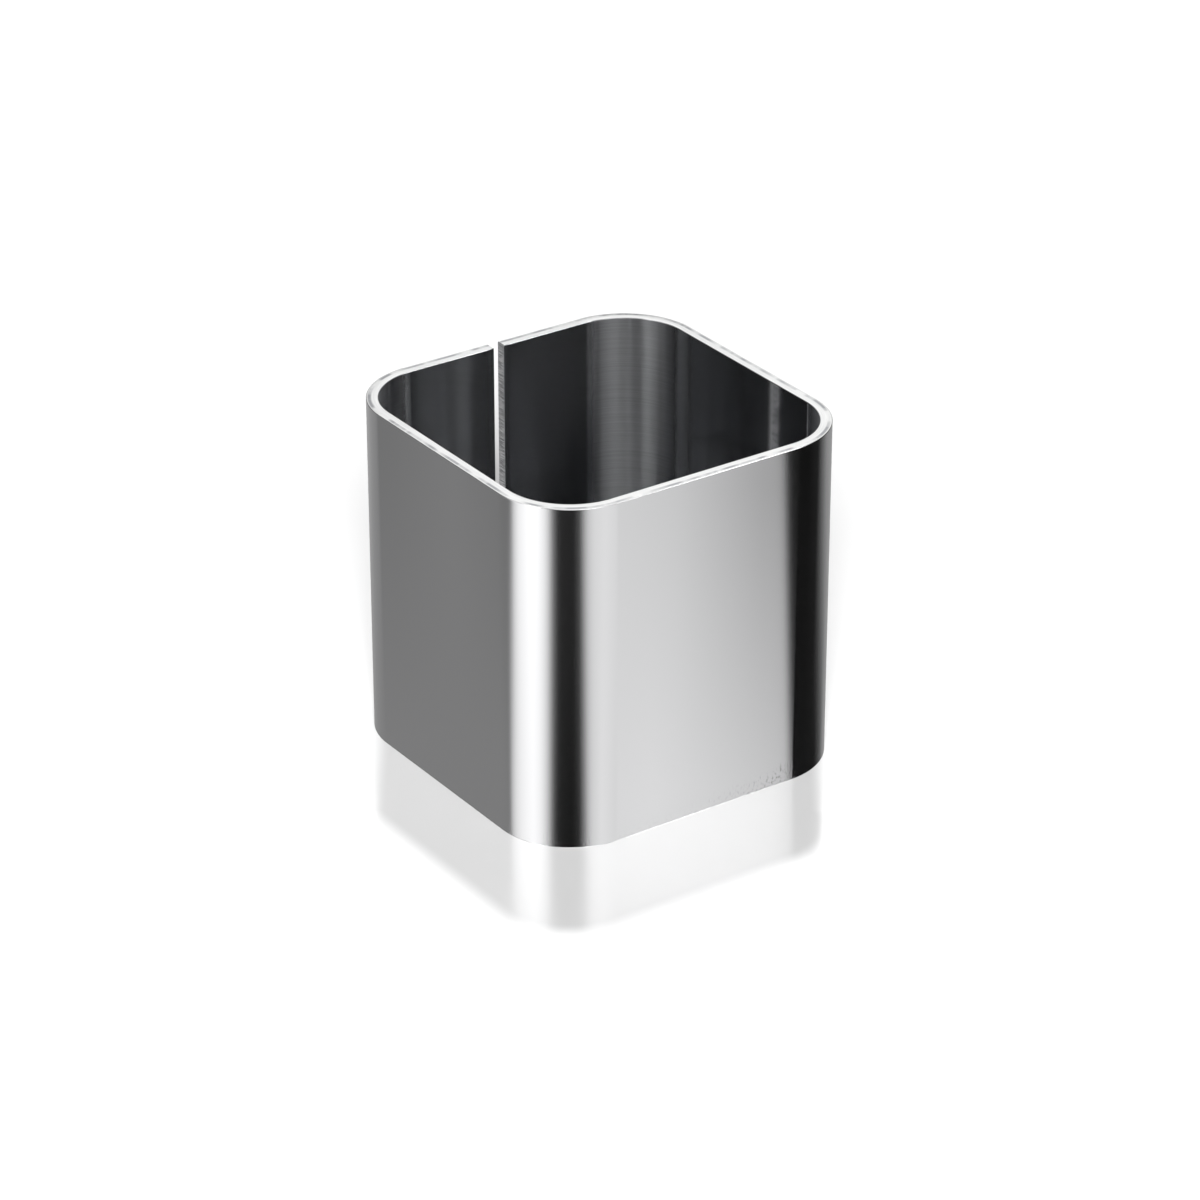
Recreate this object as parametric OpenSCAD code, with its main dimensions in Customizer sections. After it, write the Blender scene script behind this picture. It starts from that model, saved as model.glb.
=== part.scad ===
// Square napkin ring: one strip of steel plate, bent four times and left open at a butt joint.
// The ring stands on one long edge of the strip. The origin is the middle of the ring at the
// level of that edge, +Z is up, and the butt joint is in the middle of the +Y side.

/* [Ring] */
// Outside width of the ring, across the two plain sides
outer_width = 46; // [38:1:60]
// Outside depth of the ring, from the front side to the jointed side
outer_depth = 46; // [38:1:60]
// Width of the strip, which is how high the ring stands
band_height = 45; // [20:1:60]

/* [Strip] */
// Thickness of the strip
wall = 1.5; // [1:0.1:2.5]
// Radius inside each of the four bends
bend_inside_radius = 8.5; // [3:0.5:14]
// Radius that polishing leaves on the long edges of the strip
edge_radius = 0.1; // [0.05:0.05:0.4]

/* [Butt joint] */
// Opening between the two cut ends of the strip
joint_gap = 1.5; // [0.5:0.1:3]
// Radius that polishing leaves around each cut end
end_radius = 0.08; // [0.05:0.01:0.3]

/* [Hidden] */
$fn = 96;
bend_outside_radius = bend_inside_radius + wall;
straight_width = outer_width - 2 * bend_outside_radius;
straight_depth = outer_depth - 2 * bend_outside_radius;
end_length = (straight_width - joint_gap) / 2;

// Rectangle from the origin with its four corners rounded by true arcs.
module rounded_rectangle(size, radius) {
    translate([radius, 0]) square([size.x - 2 * radius, size.y]);
    translate([0, radius]) square([size.x, size.y - 2 * radius]);
    for (x = [radius, size.x - radius], y = [radius, size.y - radius])
        translate([x, y]) circle(r = radius);
}

// Cross-section of the strip: its thickness along X and its width along Y.
module strip_section() {
    rounded_rectangle([wall, band_height], edge_radius);
}

// Straight run along +X, with its outer face on the plane Y = 0 and its thickness behind it.
module straight_run(length) {
    rotate([90, 0, 90]) linear_extrude(length) strip_section();
}

// One side of the ring, standing square to its own middle at the given distance from the centre.
module plain_side(length, distance) {
    translate([-length / 2, -distance, 0]) straight_run(length);
}

// Quarter bend about the origin, from +X round to +Y.
module quarter_bend() {
    rotate_extrude(angle = 90) translate([bend_inside_radius, 0]) strip_section();
}

// The bends at the four corners.
module corner_bends() {
    for (quarter = [0:3]) {
        side_x = (quarter == 0 || quarter == 3) ? 1 : -1;
        side_y = quarter < 2 ? 1 : -1;
        translate([side_x * straight_width / 2, side_y * straight_depth / 2, 0])
            rotate([0, 0, quarter * 90]) quarter_bend();
    }
}

// Straight run whose end at X = 0 is a cut end: seen from above and from the front its
// corners are rounded too, so that every edge round the cut is broken.
module cut_end_run(length) {
    over_length = length + 2 * end_radius;
    intersection() {
        straight_run(length);
        linear_extrude(band_height) rounded_rectangle([over_length, wall], end_radius);
        translate([0, wall, 0]) rotate([90, 0, 0])
            linear_extrude(wall) rounded_rectangle([over_length, band_height], end_radius);
    }
}

// The jointed side: two cut ends that face each other across the gap.
module jointed_side() {
    for (side = [0, 1])
        mirror([side, 0, 0])
            translate([joint_gap / 2, outer_depth / 2 - wall, 0]) cut_end_run(end_length);
}

module steel_band() {
    color("silver")
    union() {
        plain_side(straight_width, outer_depth / 2);
        for (turn = [90, -90])
            rotate([0, 0, turn]) plain_side(straight_depth, outer_width / 2);
        corner_bends();
        jointed_side();
    }
}

steel_band();
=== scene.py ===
import math

import bmesh
import bpy
from mathutils import Matrix, Vector


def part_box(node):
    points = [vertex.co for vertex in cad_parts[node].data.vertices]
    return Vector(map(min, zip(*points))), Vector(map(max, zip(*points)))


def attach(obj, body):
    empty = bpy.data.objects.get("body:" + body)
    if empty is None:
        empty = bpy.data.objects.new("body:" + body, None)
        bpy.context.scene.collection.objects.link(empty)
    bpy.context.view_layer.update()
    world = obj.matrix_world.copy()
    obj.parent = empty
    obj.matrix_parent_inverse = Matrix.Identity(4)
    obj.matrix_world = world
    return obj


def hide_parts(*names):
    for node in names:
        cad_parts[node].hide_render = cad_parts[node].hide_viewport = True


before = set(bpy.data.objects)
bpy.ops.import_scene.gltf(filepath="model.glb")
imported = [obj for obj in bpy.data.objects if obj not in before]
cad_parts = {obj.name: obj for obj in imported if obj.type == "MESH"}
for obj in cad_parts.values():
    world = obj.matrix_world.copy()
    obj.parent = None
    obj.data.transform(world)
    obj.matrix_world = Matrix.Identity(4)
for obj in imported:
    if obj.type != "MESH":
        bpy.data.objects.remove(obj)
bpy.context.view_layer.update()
mm = 0.001
ringLow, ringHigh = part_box("steel_band")
ringSize = ringHigh - ringLow
print("frame loaded, ring of", [round(side / mm, 1) for side in ringSize], "mm")


def colour(hexText):
    # sRGB hex to the linear colour that a shader socket takes
    parts = [int(hexText[start:start + 2], 16) / 255 for start in (1, 3, 5)]
    linear = [part / 12.92 if part <= 0.04045 else ((part + 0.055) / 1.055) ** 2.4 for part in parts]
    return linear + [1.0]


def addNode(tree, kind, values=None, links=None, **settings):
    # adds one node, sets its settings and unlinked sockets, then plugs its links in
    node = tree.nodes.new(kind)
    for name, setting in settings.items():
        setattr(node, name, setting)
    for socket, value in (values or {}).items():
        node.inputs[socket].default_value = value
    for socket, source in (links or {}).items():
        tree.links.new(source, node.inputs[socket])
    return node


def newTree(owner):
    owner.use_nodes = True
    owner.node_tree.nodes.clear()
    return owner.node_tree


def newObject(name, bm, materials):
    mesh = bpy.data.meshes.new(name)
    bm.to_mesh(mesh)
    bm.free()
    for material in materials:
        mesh.materials.append(material)
    piece = bpy.data.objects.new(name, mesh)
    bpy.context.scene.collection.objects.link(piece)
    return piece


# Camera: a long lens a little over half a metre away, so the upright edges stay nearly parallel.
camera = {
    "azimuth": -34.74,  # degrees round from the front side, towards the left side
    "elevation": 27.33,
    "distance": 552 * mm,
    "lens": 135.0,  # mm
    "sensor": 36.0,  # mm wide
    "nearest": 10 * mm,
    "aimRight": 0.24 * mm,  # the frame's middle lies this far right of the ring's middle
    "aimUp": -3.26 * mm,
}


def makeCamera():
    lens = bpy.data.cameras.new("photoCamera")
    lens.lens = camera["lens"]
    lens.sensor_width = camera["sensor"]
    lens.clip_start = camera["nearest"]
    holder = bpy.data.objects.new("photoCamera", lens)
    bpy.context.scene.collection.objects.link(holder)
    middle = Matrix.Translation((ringLow + ringHigh) / 2)
    turn = Matrix.Rotation(math.radians(camera["azimuth"]), 4, "Z")
    tilt = Matrix.Rotation(math.radians(90 - camera["elevation"]), 4, "X")
    offset = Matrix.Translation((camera["aimRight"], camera["aimUp"], camera["distance"]))
    holder.matrix_world = middle @ turn @ tilt @ offset
    bpy.context.scene.camera = holder


makeCamera()
print("camera placed")


# The ring: one strip, its cross-section pushed round four straights and four quarter bends.
band = {
    "wall": 1.5 * mm,
    "bendInside": 8.5 * mm,  # radius
    "gap": 1.5 * mm,
    "edgeRound": 0.1 * mm,  # radius on the long edges
    "edgeSteps": 5,
    "endRound": 0.08 * mm,  # radius round the cut ends
    "endSteps": 3,
    "bendSteps": 60,
    "straightSteps": 12,
    "bendOnset": 4,  # the higher, the sooner a bend shows its full stretch
    "lappedFrom": 0.95,  # how level a face lies that the lapping has reached
}
bendOutside = band["bendInside"] + band["wall"]


# Stainless steel strip, polished. Outside it gives clear reflections with a hair of blur. The bends
# bring out a fine grain, so that dark reflections have a soft edge there, and the lowest few
# millimetres are pitted from standing. Inside, polishing has left fine lines along the strip, which
# draw lights out into upright bands between clearer reflections. The inside steel is also given a
# darker tone than the outside, which is painted shade.
polishedSteel = {
    "steel": "#CBCBCC",
    # darker than the outside steel: painted shade inside the ring
    "insideSteelPaintedShade": "#B2B3B5",
    "throughBlend": 0.1,  # mm to either side of the wall's middle, where outside turns to inside
    "roughness": 0.05,
    "speckle": 0.02,  # how far it varies
    "lineRoughness": 0.42,  # of the lines inside, across the strip
    "lineTurn": 0.25,  # of a turn, so that they run along it
    "lineShare": (0.05, 0.46),  # how much of the skin they take up, on flat sides and in bends
    "lineLength": 12.0,  # mm along the strip, of the patches in which they lie closer
    "lineThrough": 5.0,  # mm through the wall
    "lineSpacing": 0.15,  # mm up the strip
    "lineUnevenness": 0.2,
    "grainSize": 0.13,  # mm, drawn coarser than the real grain so that it shows
    "grainDepth": 0.006,  # mm, of which the noise uses about a fifth
    "flatGrain": 0.1,  # share of that on the flat sides
    "rippleSize": 6.0,  # mm along the strip, the slow ripple that bending leaves
    "rippleThrough": 1.0,  # mm through the wall
    "rippleHeight": 60.0,  # mm up the strip, so that it stands upright
    "rippleDepth": 0.0008,  # mm
    "pitSize": 0.4,  # mm
    "pitDepth": 0.0045,  # mm
    "pitLevel": (0.57, 0.66),  # of the noise, where a pit starts and where it is full
    "pitsUpTo": 3.0,  # mm above the foot
}

# The strip's long edges, lapped flat on abrasive paper: pale, with fine lines along the strip and
# a darker, broken streak near the outer face.
lappedSteel = {
    "steel": "#DEDEDD",
    "dull": "#C8C9C9",
    "streak": "#909194",
    "contrast": 0.2,
    "roughness": 0.3,
    "lineSize": (4.0, 0.12, 5.0),  # mm along the strip, across the edge and down from it
    "lineDepth": 0.002,  # mm
    "streakAt": 0.42,  # mm in from the outer face
    "streakWidth": 0.3,  # mm to either side
    "streakCore": 0.3,  # share of that where it is darkest
    "streakPatch": 4.0,  # mm along it
    "streakLevel": (0.38, 0.6),  # of the noise, where a patch starts and where it is full
}

# The strip's cut ends, sheared and left as they were: grey, with short level lines.
shearedSteel = {
    "steel": "#F4F4F5",
    "dull": "#9C9D9F",
    "contrast": 0.1,
    "roughness": 0.36,
    "lineSize": (1.0, 1.6, 0.14),  # mm along the strip, across the end and up it
    "lineDepth": 0.004,  # mm
}


noiseMiddle = 0.5  # the value that a noise keeps round


def makePolishedSteel():
    look = polishedSteel
    material = bpy.data.materials.new("polishedSteel")
    tree = newTree(material)
    place = addNode(tree, "ShaderNodeAttribute", attribute_name="strip").outputs["Vector"]
    bent = addNode(tree, "ShaderNodeAttribute", attribute_name="bend").outputs["Fac"]
    parts = addNode(tree, "ShaderNodeSeparateXYZ", None, {"Vector": place}).outputs
    middle = band["wall"] / mm / 2
    through = {"From Min": middle - look["throughBlend"], "From Max": middle + look["throughBlend"]}
    inside = addNode(tree, "ShaderNodeMapRange", through, {"Value": parts["Y"]}).outputs["Result"]
    outside = addNode(
        tree, "ShaderNodeMath", {0: 1.0}, {1: inside}, operation="SUBTRACT"
    ).outputs["Value"]

    # relief, outside only: slow ripple, grain that the bends bring out, and pits near the foot
    rippleScale = (1 / look["rippleSize"], 1 / look["rippleThrough"], 1 / look["rippleHeight"])
    stretched = addNode(
        tree, "ShaderNodeMapping", {"Scale": rippleScale}, {"Vector": place}
    ).outputs["Vector"]
    ripple = addNode(
        tree, "ShaderNodeTexNoise", {"Scale": 1.0, "Detail": 1.0}, {"Vector": stretched}
    ).outputs["Fac"]
    grain = addNode(
        tree, "ShaderNodeTexNoise", {"Scale": 1 / look["grainSize"], "Detail": 2.0}, {"Vector": place}
    ).outputs["Fac"]
    pitNoise = addNode(
        tree, "ShaderNodeTexNoise", {"Scale": 1 / look["pitSize"], "Detail": 3.0}, {"Vector": place}
    ).outputs["Fac"]
    pitStart, pitFull = look["pitLevel"]
    pits = addNode(
        tree,
        "ShaderNodeMapRange",
        {"From Min": pitStart, "From Max": pitFull, "To Min": 1.0, "To Max": 0.0},
        {"Value": pitNoise},
    ).outputs["Result"]
    grainShare = addNode(
        tree, "ShaderNodeMapRange", {"To Min": look["flatGrain"], "To Max": 1.0}, {"Value": bent}
    ).outputs["Result"]
    grainStrength = addNode(
        tree, "ShaderNodeMath", None, {0: grainShare, 1: outside}, operation="MULTIPLY"
    ).outputs["Value"]
    nearFoot = addNode(
        tree,
        "ShaderNodeMapRange",
        {"From Min": look["pitsUpTo"], "From Max": 0.0},
        {"Value": parts["Z"]},
    ).outputs["Result"]
    pitStrength = addNode(
        tree, "ShaderNodeMath", None, {0: nearFoot, 1: outside}, operation="MULTIPLY"
    ).outputs["Value"]
    skin = None
    for depth, height, strength in (
        (look["rippleDepth"], ripple, outside),
        (look["grainDepth"], grain, grainStrength),
        (look["pitDepth"], pits, pitStrength),
    ):
        links = {"Height": height, "Strength": strength}
        if skin:
            links["Normal"] = skin
        skin = addNode(tree, "ShaderNodeBump", {"Distance": depth * mm}, links).outputs["Normal"]

    # the outside tone, turning through the wall to the darker inside tone, which is painted shade
    tone = addNode(
        tree,
        "ShaderNodeMix",
        {6: colour(look["steel"]), 7: colour(look["insideSteelPaintedShade"])},
        {0: inside},
        data_type="RGBA",
    ).outputs[2]
    smoothest = look["roughness"] - look["speckle"]
    roughest = look["roughness"] + look["speckle"]
    roughness = addNode(
        tree, "ShaderNodeMapRange", {"To Min": smoothest, "To Max": roughest}, {"Value": grain}
    ).outputs["Result"]
    clear = addNode(
        tree,
        "ShaderNodeBsdfPrincipled",
        {"Metallic": 1.0},
        {"Base Color": tone, "Roughness": roughness, "Normal": skin},
    ).outputs["BSDF"]

    # lines inside, rough across the strip and smooth along it
    along = addNode(tree, "ShaderNodeTangent", direction_type="RADIAL", axis="Z").outputs["Tangent"]
    lined = addNode(
        tree,
        "ShaderNodeBsdfPrincipled",
        {
            "Metallic": 1.0,
            "Roughness": look["lineRoughness"],
            "Anisotropic": 1.0,
            "Anisotropic Rotation": look["lineTurn"],
        },
        {"Base Color": tone, "Tangent": along},
    ).outputs["BSDF"]
    lineScale = (1 / look["lineLength"], 1 / look["lineThrough"], 1 / look["lineSpacing"])
    drawnOut = addNode(
        tree, "ShaderNodeMapping", {"Scale": lineScale}, {"Vector": place}
    ).outputs["Vector"]
    patches = addNode(
        tree, "ShaderNodeTexNoise", {"Scale": 1.0, "Detail": 3.0}, {"Vector": drawnOut}
    ).outputs["Fac"]
    flatShare, bendShare = look["lineShare"]
    evenShare = addNode(
        tree, "ShaderNodeMapRange", {"To Min": flatShare, "To Max": bendShare}, {"Value": bent}
    ).outputs["Result"]
    uneven = {"To Min": 1 - look["lineUnevenness"], "To Max": 1 + look["lineUnevenness"]}
    closeness = addNode(tree, "ShaderNodeMapRange", uneven, {"Value": patches}).outputs["Result"]
    share = addNode(
        tree, "ShaderNodeMath", None, {0: evenShare, 1: closeness}, operation="MULTIPLY"
    ).outputs["Value"]
    insideShare = addNode(
        tree, "ShaderNodeMath", None, {0: share, 1: inside}, operation="MULTIPLY"
    ).outputs["Value"]
    surface = addNode(
        tree, "ShaderNodeMixShader", None, {0: insideShare, 1: clear, 2: lined}
    ).outputs["Shader"]
    addNode(tree, "ShaderNodeOutputMaterial", None, {"Surface": surface})
    return material


def addStreak(tree, place, tone):
    # darkens the tone along a broken streak near the strip's outer face
    look = lappedSteel
    parts = addNode(tree, "ShaderNodeSeparateXYZ", None, {"Vector": place}).outputs
    aside = addNode(
        tree, "ShaderNodeMath", {1: look["streakAt"]}, {0: parts["Y"]}, operation="SUBTRACT"
    ).outputs["Value"]
    off = addNode(tree, "ShaderNodeMath", None, {0: aside}, operation="ABSOLUTE").outputs["Value"]
    across = addNode(
        tree,
        "ShaderNodeMapRange",
        {"From Min": look["streakWidth"], "From Max": look["streakCore"] * look["streakWidth"]},
        {"Value": off},
        interpolation_type="SMOOTHSTEP",
    ).outputs["Result"]
    patch = addNode(
        tree,
        "ShaderNodeTexNoise",
        {"Scale": 1 / look["streakPatch"], "Detail": 5.0},
        {"W": parts["X"]},
        noise_dimensions="1D",
    ).outputs["Fac"]
    start, full = look["streakLevel"]
    streakPieces = addNode(
        tree, "ShaderNodeMapRange", {"From Min": start, "From Max": full}, {"Value": patch}
    ).outputs["Result"]
    share = addNode(
        tree, "ShaderNodeMath", None, {0: across, 1: streakPieces}, operation="MULTIPLY"
    ).outputs["Value"]
    return addNode(
        tree, "ShaderNodeMix", {7: colour(look["streak"])}, {0: share, 6: tone}, data_type="RGBA"
    ).outputs[2]


def makeLinedSteel(name, look):
    # steel with fine lines: noise squeezed to their size on the strip's own place
    material = bpy.data.materials.new(name)
    tree = newTree(material)
    place = addNode(tree, "ShaderNodeAttribute", attribute_name="strip").outputs["Vector"]
    scale = [1 / size for size in look["lineSize"]]
    squeezed = addNode(
        tree, "ShaderNodeMapping", {"Scale": scale}, {"Vector": place}
    ).outputs["Vector"]
    lines = addNode(
        tree, "ShaderNodeTexNoise", {"Scale": 1.0, "Detail": 4.0}, {"Vector": squeezed}
    ).outputs["Fac"]
    wear = addNode(
        tree,
        "ShaderNodeMapRange",
        {"From Min": noiseMiddle - look["contrast"], "From Max": noiseMiddle + look["contrast"]},
        {"Value": lines},
    ).outputs["Result"]
    tone = addNode(
        tree,
        "ShaderNodeMix",
        {6: colour(look["dull"]), 7: colour(look["steel"])},
        {0: wear},
        data_type="RGBA",
    ).outputs[2]
    if "streak" in look:
        tone = addStreak(tree, place, tone)
    relief = addNode(
        tree, "ShaderNodeBump", {"Distance": look["lineDepth"] * mm}, {"Height": lines}
    ).outputs["Normal"]
    shader = addNode(
        tree,
        "ShaderNodeBsdfPrincipled",
        {"Metallic": 1.0, "Roughness": look["roughness"]},
        {"Base Color": tone, "Normal": relief},
    )
    addNode(tree, "ShaderNodeOutputMaterial", None, {"Surface": shader.outputs["BSDF"]})
    return material


def pushOn(bm, faces, move, length, steps, bends):
    # pushes the cross-section on by equal moves, and notes on its corners how far along the strip
    # it has come and how much a bend stretches it there, which is most in the bend's middle
    place = bm.verts.layers.float_vector["strip"]
    bend = bm.verts.layers.float["bend"]
    for step in range(steps):
        # given its edges too, the operator leaves no face behind inside the wall
        edges = [edge for face in faces for edge in face.edges]
        grown = bmesh.ops.extrude_face_region(bm, geom=faces + edges)["geom"]
        corners = [part for part in grown if isinstance(part, bmesh.types.BMVert)]
        faces = [part for part in grown if isinstance(part, bmesh.types.BMFace)]
        bmesh.ops.transform(bm, matrix=move, space=Matrix(), verts=corners)
        for corner in corners:
            corner[place].x += length / mm
            corner[bend] = 1 - (2 * (step + 1) / steps - 1) ** band["bendOnset"] if bends else 0
    return faces


def makeBand(materials):
    # the materials are those of the skin, the long edges and the cut ends
    longEdge, cutEnd = 1, 2
    size = band
    height = ringSize.z
    straights = (ringSize.x - 2 * bendOutside, ringSize.y - 2 * bendOutside)
    bm = bmesh.new()
    place = bm.verts.layers.float_vector.new("strip")
    bm.verts.layers.float.new("bend")

    # cross-section at the first cut end, standing up across the wall, its corners rounded
    start = Vector((size["gap"] / 2, ringHigh.y - size["wall"] / 2, ringLow.z + height / 2))
    stand = Matrix.Rotation(math.radians(-90), 4, "Y") @ Matrix.Diagonal((height, size["wall"], 1, 1))
    placing = Matrix.Translation(start) @ stand
    bmesh.ops.create_grid(bm, x_segments=1, y_segments=1, size=0.5, matrix=placing)
    bmesh.ops.bevel(
        bm,
        geom=bm.verts[:],
        offset=size["edgeRound"],
        offset_type="OFFSET",
        segments=size["edgeSteps"],
        profile=0.5,
        affect="VERTICES",
        material=-1,
    )
    for corner in bm.verts:
        corner[place] = Vector((0, ringHigh.y - corner.co.y, corner.co.z - ringLow.z)) / mm

    # clockwise seen from above: half the jointed side, three plain sides, and back to the joint
    faces = bm.faces[:]
    heading = Vector((1, 0, 0))
    firstRun = (straights[0] - size["gap"]) / 2
    runs = [firstRun, straights[1], straights[0], straights[1], firstRun]
    middleLine = size["bendInside"] + size["wall"] / 2
    steps = size["straightSteps"]
    angle = math.radians(-90) / size["bendSteps"]
    arc = abs(angle) * middleLine
    for number, run in enumerate(runs):
        if number > 0:
            across = Vector((heading.y, -heading.x, 0))
            centre = faces[0].calc_center_median() + across * middleLine
            turn = Matrix.Rotation(angle, 4, "Z")
            turn = Matrix.Translation(centre) @ turn @ Matrix.Translation(-centre)
            faces = pushOn(bm, faces, turn, arc, size["bendSteps"], True)
            heading = across
        faces = pushOn(bm, faces, Matrix.Translation(heading * run / steps), run / steps, steps, False)

    # break the edges round both cut ends
    rims = [edge for edge in bm.edges if any(len(face.verts) > 4 for face in edge.link_faces)]
    bmesh.ops.bevel(
        bm,
        geom=rims,
        offset=size["endRound"],
        offset_type="OFFSET",
        segments=size["endSteps"],
        profile=0.5,
        affect="EDGES",
        material=-1,
        clamp_overlap=True,
    )
    for face in bm.faces:
        face.smooth = True
        if len(face.verts) > 4:  # only the two cut ends have so many corners
            face.material_index = cutEnd
        elif abs(face.normal.z) > size["lappedFrom"]:
            face.material_index = longEdge
    bmesh.ops.recalc_face_normals(bm, faces=bm.faces[:])
    openEdges = [edge for edge in bm.edges if not edge.is_manifold]
    print("ring modelled,", len(bm.faces), "faces,", len(openEdges), "open edges")
    ring = newObject("polishedBand", bm, materials)
    smooth = ring.modifiers.new("evenShading", "WEIGHTED_NORMAL")
    smooth.keep_sharp = True
    return ring


ring = makeBand(
    [
        makePolishedSteel(),
        makeLinedSteel("lappedSteel", lappedSteel),
        makeLinedSteel("shearedSteel", shearedSteel),
    ]
)
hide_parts("steel_band")
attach(ring, "root")


# Polished steel shows only what stands round it. The tent is what it mirrors: pale cloth with
# dark openings, seen by reflections and by nothing else. Each tier of it blends in between two
# heights. Its bearings pair degrees from the front side, positive to the right, with brightness.
tent = {
    "radius": 130 * mm,
    "height": 260 * mm,
    "panels": 180,
    # what the outside mirrors: near the floor, and higher up
    "lowerTiers": [
        {
            "blend": None,
            "peak": 2.0,
            "bearings": [
                (-180, 0.45),
                (-150, 0.35),
                (-143, 0.26),
                (-138, 0.31),
                (-134, 0.26),
                (-114, 0.25),
                (-110, 0.45),
                (-105, 1.02),
                (-98, 1.45),
                (-89, 1.65),
                (-80, 1.80),
                (-72, 1.70),
                (-64, 1.35),
                (-59, 0.85),
                (-55, 0.33),
                (-50, 0.07),
                (-45, 0.035),
                (-32, 0.03),
                (-25, 0.13),
                (-20, 0.58),
                (-15, 0.95),
                (-8, 1.13),
                (5, 1.20),
                (20, 1.13),
                (28, 0.95),
                (34, 0.59),
                (40, 0.58),
                (45, 0.012),
                (68, 0.02),
                (91, 0.38),
                (180, 0.45),
            ],
        },
        {
            "blend": (10 * mm, 60 * mm),
            "peak": 2.0,
            "bearings": [
                (-180, 0.36),
                (-150, 0.33),
                (-142, 0.32),
                (-121, 0.31),
                (-117, 0.38),
                (-112, 0.85),
                (-106, 1.20),
                (-98, 1.42),
                (-88, 1.58),
                (-80, 1.65),
                (-72, 1.47),
                (-67, 1.20),
                (-62, 0.78),
                (-57, 0.21),
                (-53, 0.05),
                (-48, 0.02),
                (-35, 0.008),
                (-26, 0.04),
                (-20, 0.34),
                (-16, 0.75),
                (-11, 1.02),
                (0, 1.22),
                (20, 1.10),
                (27, 1.17),
                (33, 0.98),
                (40, 0.72),
                (45, 0.012),
                (76, 0.015),
                (90, 0.12),
                (105, 0.36),
                (180, 0.36),
            ],
        },
    ],
    # a black card hangs before them on the right, crisp on its near side
    "card": {
        "near": (34.67, 35.12),  # degrees, where that side starts and where it is full
        "far": (50, 60),
        "lean": 17.0,  # degrees for each metre of height
        "brightness": 0.01,
    },
    # higher still: dark but for the light on the rim, and then the lamps that the lines inside the
    # ring draw out into bands
    "upperTiers": [
        {
            "blend": (78 * mm, 88 * mm),
            "peak": 2.0,
            "bearings": [
                (-180, 0.15),
                (-150, 0.20),
                (-110, 0.70),
                (-70, 0.30),
                (-30, 0.70),
                (0, 0.60),
                (40, 0.50),
                (70, 0.12),
                (106, 0.12),
                (120, 1.55),
                (162, 1.55),
                (174, 0.12),
                (180, 0.15),
            ],
        },
        {
            "blend": (122 * mm, 134 * mm),
            "peak": 10.0,
            "bearings": [
                (-180, 0.06),
                (-146, 0.10),
                (-136, 0.80),
                (-118, 1.40),
                (-104, 2.20),
                (-96, 4.60),
                (-88, 10.00),
                (-80, 10.00),
                (-73, 2.00),
                (-64, 1.10),
                (-54, 3.20),
                (-38, 4.70),
                (-20, 6.50),
                (0, 6.80),
                (8, 4.10),
                (16, 2.20),
                (28, 1.90),
                (34, 0.12),
                (38.5, 0.12),
                (41, 10.00),
                (51, 10.00),
                (58, 1.60),
                (66, 0.10),
                (106, 0.10),
                (120, 1.55),
                (162, 1.55),
                (170, 0.06),
                (180, 0.06),
            ],
        },
        # plain cloth overhead, so that a high view isn't dazzled
        {
            "blend": (190 * mm, 230 * mm),
            "peak": 2.0,
            "bearings": [(-180, 0.75), (180, 0.75)],
        },
    ],
}

# The floor: a pale gloss sheet. It is white to the eye, keeps a soft shadow, and mirrors the ring's
# foot. To reflections it carries a painted contact shadow along the foot inside the ring.
floor = {
    "side": 8.0,  # metres
    "sheet": "#F4F4F4",
    "white": "#FFFFFF",
    "ownLight": 0.22,  # share of the white that no shadow can take away
    "mirror": 0.44,  # how much of the ring's foot it mirrors
    "mirrorRoughness": 0.14,
    "mirrorReach": 19 * mm,  # how far towards the viewer the mirror image of the foot goes
    "mirrorSoft": 3.5 * mm,  # over which it ends
    "contactShade": 0.9,  # darkness of the painted contact shadow along the foot inside the ring, in reflections
    "contactSoft": 0.7 * mm,
}


def rampPlace(degrees):
    # where a bearing lies between 0 and 1, from straight behind round to straight behind
    return (degrees + 180) / 360


def bearingPattern(tree, place, stops, peak):
    # a ramp of greys, white being the peak brightness
    pattern = addNode(tree, "ShaderNodeValToRGB", None, {"Fac": place})
    marks = pattern.color_ramp.elements
    for degrees, brightness in stops[1:-1]:
        marks.new(rampPlace(degrees))
    for mark, (degrees, brightness) in zip(marks, stops):
        grey = brightness / peak
        mark.color = (grey, grey, grey, 1.0)
    return pattern.outputs["Color"]


def layTiers(tree, glow, bearing, level, tiers):
    for tier in tiers:
        pattern = bearingPattern(tree, bearing, tier["bearings"], tier["peak"])
        tierGlow = addNode(
            tree, "ShaderNodeEmission", {"Strength": tier["peak"]}, {"Color": pattern}
        ).outputs["Emission"]
        if not tier["blend"]:
            glow = tierGlow
            continue
        low, high = tier["blend"]
        share = addNode(
            tree, "ShaderNodeMapRange", {"From Min": low, "From Max": high}, {"Value": level}
        ).outputs["Result"]
        glow = addNode(
            tree, "ShaderNodeMixShader", None, {0: share, 1: glow, 2: tierGlow}
        ).outputs["Shader"]
    return glow


def hangCard(tree, glow, bearing, level):
    card = tent["card"]
    leaned = addNode(
        tree,
        "ShaderNodeMath",
        {1: -card["lean"] / 360},
        {0: level, 2: bearing},
        operation="MULTIPLY_ADD",
    ).outputs["Value"]
    edges = []
    for start, end in (card["near"], card["far"]):
        span = {"From Min": rampPlace(start), "From Max": rampPlace(end)}
        edges.append(
            addNode(
                tree, "ShaderNodeMapRange", span, {"Value": leaned}, interpolation_type="SMOOTHSTEP"
            ).outputs["Result"]
        )
    cover = addNode(
        tree, "ShaderNodeMath", None, {0: edges[0], 1: edges[1]}, operation="SUBTRACT"
    ).outputs["Value"]
    cardGlow = addNode(tree, "ShaderNodeEmission", {"Strength": card["brightness"]}).outputs["Emission"]
    return addNode(
        tree, "ShaderNodeMixShader", None, {0: cover, 1: glow, 2: cardGlow}
    ).outputs["Shader"]


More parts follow.
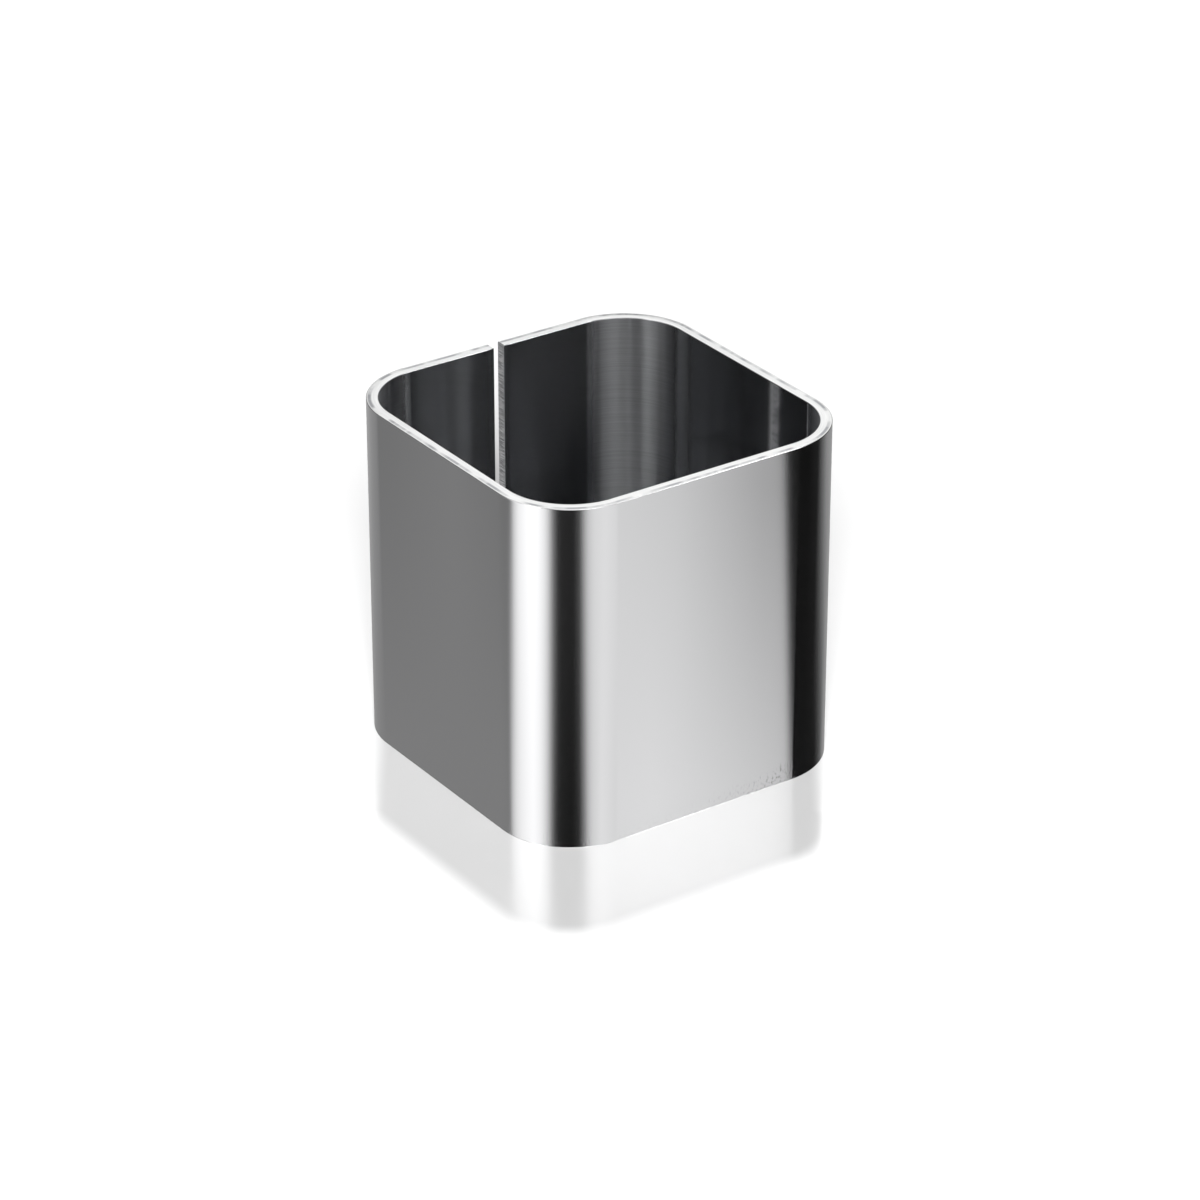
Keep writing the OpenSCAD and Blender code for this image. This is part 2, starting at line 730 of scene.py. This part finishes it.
def makeTent():
    material = bpy.data.materials.new("tentCloth")
    tree = newTree(material)
    place = addNode(tree, "ShaderNodeTexCoord").outputs["Object"]
    turned = addNode(
        tree, "ShaderNodeMapping", {"Rotation": (0, 0, math.radians(90))}, {"Vector": place}
    ).outputs["Vector"]
    bearing = addNode(
        tree, "ShaderNodeTexGradient", None, {"Vector": turned}, gradient_type="RADIAL"
    ).outputs["Fac"]
    level = addNode(tree, "ShaderNodeSeparateXYZ", None, {"Vector": place}).outputs["Z"]
    glow = layTiers(tree, None, bearing, level, tent["lowerTiers"])
    glow = hangCard(tree, glow, bearing, level)
    glow = layTiers(tree, glow, bearing, level, tent["upperTiers"])
    addNode(tree, "ShaderNodeOutputMaterial", None, {"Surface": glow})

    bm = bmesh.new()
    bmesh.ops.create_circle(bm, cap_ends=False, segments=tent["panels"], radius=tent["radius"])
    raised = bmesh.ops.extrude_edge_only(bm, edges=bm.edges[:])["geom"]
    top = [part for part in raised if isinstance(part, bmesh.types.BMVert)]
    bmesh.ops.translate(bm, verts=top, vec=(0, 0, tent["height"]))
    bmesh.ops.contextual_create(bm, geom=top)
    tentObject = newObject("tent", bm, [material])
    tentObject.visible_camera = False
    tentObject.visible_diffuse = False
    tentObject.visible_shadow = False


def footDistance(tree, place):
    # distance from the straight-sided square whose corners are the centres of the bends
    corner = (ringSize.x / 2 - bendOutside, ringSize.y / 2 - bendOutside, 0)
    folded = addNode(
        tree, "ShaderNodeVectorMath", None, {0: place}, operation="ABSOLUTE"
    ).outputs["Vector"]
    beyond = addNode(
        tree, "ShaderNodeVectorMath", {1: corner}, {0: folded}, operation="SUBTRACT"
    ).outputs["Vector"]
    outside = addNode(
        tree, "ShaderNodeVectorMath", {1: (0, 0, 0)}, {0: beyond}, operation="MAXIMUM"
    ).outputs["Vector"]
    return addNode(
        tree, "ShaderNodeVectorMath", None, {0: outside}, operation="LENGTH"
    ).outputs["Value"]


def makeFloor():
    material = bpy.data.materials.new("glossFloor")
    tree = newTree(material)
    place = addNode(tree, "ShaderNodeTexCoord").outputs["Object"]
    rays = addNode(tree, "ShaderNodeLightPath")

    # the mirror image of the foot: the ring's outline swept towards the viewer
    azimuth = math.radians(camera["azimuth"])
    viewer = (math.sin(azimuth), -math.cos(azimuth), 0)
    ahead = addNode(
        tree, "ShaderNodeVectorMath", {1: viewer}, {0: place}, operation="DOT_PRODUCT"
    ).outputs["Value"]
    sweep = addNode(
        tree, "ShaderNodeClamp", {"Max": floor["mirrorReach"]}, {"Value": ahead}
    ).outputs["Result"]
    move = addNode(
        tree, "ShaderNodeVectorMath", {0: viewer}, {3: sweep}, operation="SCALE"
    ).outputs["Vector"]
    moved = addNode(
        tree, "ShaderNodeVectorMath", None, {0: place, 1: move}, operation="SUBTRACT"
    ).outputs["Vector"]
    mirrorShare = addNode(
        tree,
        "ShaderNodeMapRange",
        {
            "From Min": bendOutside - floor["mirrorSoft"] / 2,
            "From Max": bendOutside + floor["mirrorSoft"] / 2,
            "To Min": floor["mirror"],
            "To Max": 0.0,
        },
        {"Value": footDistance(tree, moved)},
        interpolation_type="SMOOTHSTEP",
    ).outputs["Result"]

    # painted contact shadow: a dark line along the foot inside the ring, which only reflections see
    aside = addNode(
        tree,
        "ShaderNodeMath",
        {1: bendOutside - band["wall"] / 2},
        {0: footDistance(tree, place)},
        operation="SUBTRACT",
    ).outputs["Value"]
    lineEdge = -band["wall"] / 2
    line = addNode(
        tree,
        "ShaderNodeMapRange",
        {
            "From Min": lineEdge - floor["contactSoft"],
            "From Max": lineEdge,
            "To Min": 1.0,
            "To Max": 1.0 - floor["contactShade"],
        },
        {"Value": aside},
    ).outputs["Result"]
    outsideFoot = addNode(
        tree, "ShaderNodeMath", {1: 0.0}, {0: aside}, operation="GREATER_THAN"
    ).outputs["Value"]
    paintedContactShadow = addNode(
        tree, "ShaderNodeMath", None, {0: line, 1: outsideFoot}, operation="MAXIMUM"
    ).outputs["Value"]

    # to the camera a matt sheet with the mirror image in it, to reflections a clear mirror darkened by
    # the painted contact shadow
    white = addNode(tree, "ShaderNodeEmission", {"Color": colour(floor["white"]), "Strength": 1.0})
    matt = addNode(tree, "ShaderNodeBsdfDiffuse", {"Color": colour(floor["sheet"])})
    gloss = addNode(tree, "ShaderNodeBsdfAnisotropic", {"Roughness": 0.0}, {"Color": paintedContactShadow})
    softGloss = addNode(
        tree,
        "ShaderNodeBsdfAnisotropic",
        {"Color": colour(floor["white"]), "Roughness": floor["mirrorRoughness"]},
    )
    sheet = addNode(
        tree,
        "ShaderNodeMixShader",
        {0: floor["ownLight"]},
        {1: matt.outputs["BSDF"], 2: white.outputs["Emission"]},
    )
    seen = addNode(
        tree,
        "ShaderNodeMixShader",
        None,
        {0: mirrorShare, 1: sheet.outputs["Shader"], 2: softGloss.outputs["BSDF"]},
    )
    surface = addNode(
        tree,
        "ShaderNodeMixShader",
        None,
        {0: rays.outputs["Is Camera Ray"], 1: gloss.outputs["BSDF"], 2: seen.outputs["Shader"]},
    )
    addNode(tree, "ShaderNodeOutputMaterial", None, {"Surface": surface.outputs["Shader"]})

    bm = bmesh.new()
    bmesh.ops.create_grid(bm, x_segments=1, y_segments=1, size=floor["side"] / 2)
    sheetObject = newObject("floor", bm, [material])


# Plain soft light: an even world, and a lamp behind the viewer that lays a soft shadow behind the
# ring.
light = {
    "lampElevation": 31.5,  # degrees
    "lampStrength": 5.7,
    "lampSoftness": 18.0,  # degrees
    "world": "#959595",
    "backdrop": "#FFFFFF",  # what the camera sees beyond the floor
}

steelBounces = 20  # inside the ring a reflection meets steel many times before it finds its way out


def makeLight():
    lamp = bpy.data.lights.new("keyLamp", "SUN")
    lamp.energy = light["lampStrength"]
    lamp.angle = math.radians(light["lampSoftness"])
    holder = bpy.data.objects.new("keyLamp", lamp)
    turn = Matrix.Rotation(math.radians(camera["azimuth"]), 4, "Z")
    holder.matrix_world = turn @ Matrix.Rotation(math.radians(90 - light["lampElevation"]), 4, "X")
    holder.visible_glossy = False
    bpy.context.scene.collection.objects.link(holder)

    world = bpy.data.worlds.new("studio")
    bpy.context.scene.world = world
    tree = newTree(world)
    rays = addNode(tree, "ShaderNodeLightPath")
    backdrop = addNode(
        tree, "ShaderNodeBackground", {"Color": colour(light["backdrop"]), "Strength": 1.0}
    )
    room = addNode(tree, "ShaderNodeBackground", {"Color": colour(light["world"]), "Strength": 1.0})
    mixed = addNode(
        tree,
        "ShaderNodeMixShader",
        None,
        {
            0: rays.outputs["Is Camera Ray"],
            1: room.outputs["Background"],
            2: backdrop.outputs["Background"],
        },
    )
    addNode(tree, "ShaderNodeOutputWorld", None, {"Surface": mixed.outputs["Shader"]})


makeTent()
makeFloor()
makeLight()
bpy.context.scene.view_settings.view_transform = "Standard"
bpy.context.scene.cycles.max_bounces = steelBounces
bpy.context.scene.cycles.glossy_bounces = steelBounces
print("studio set up")
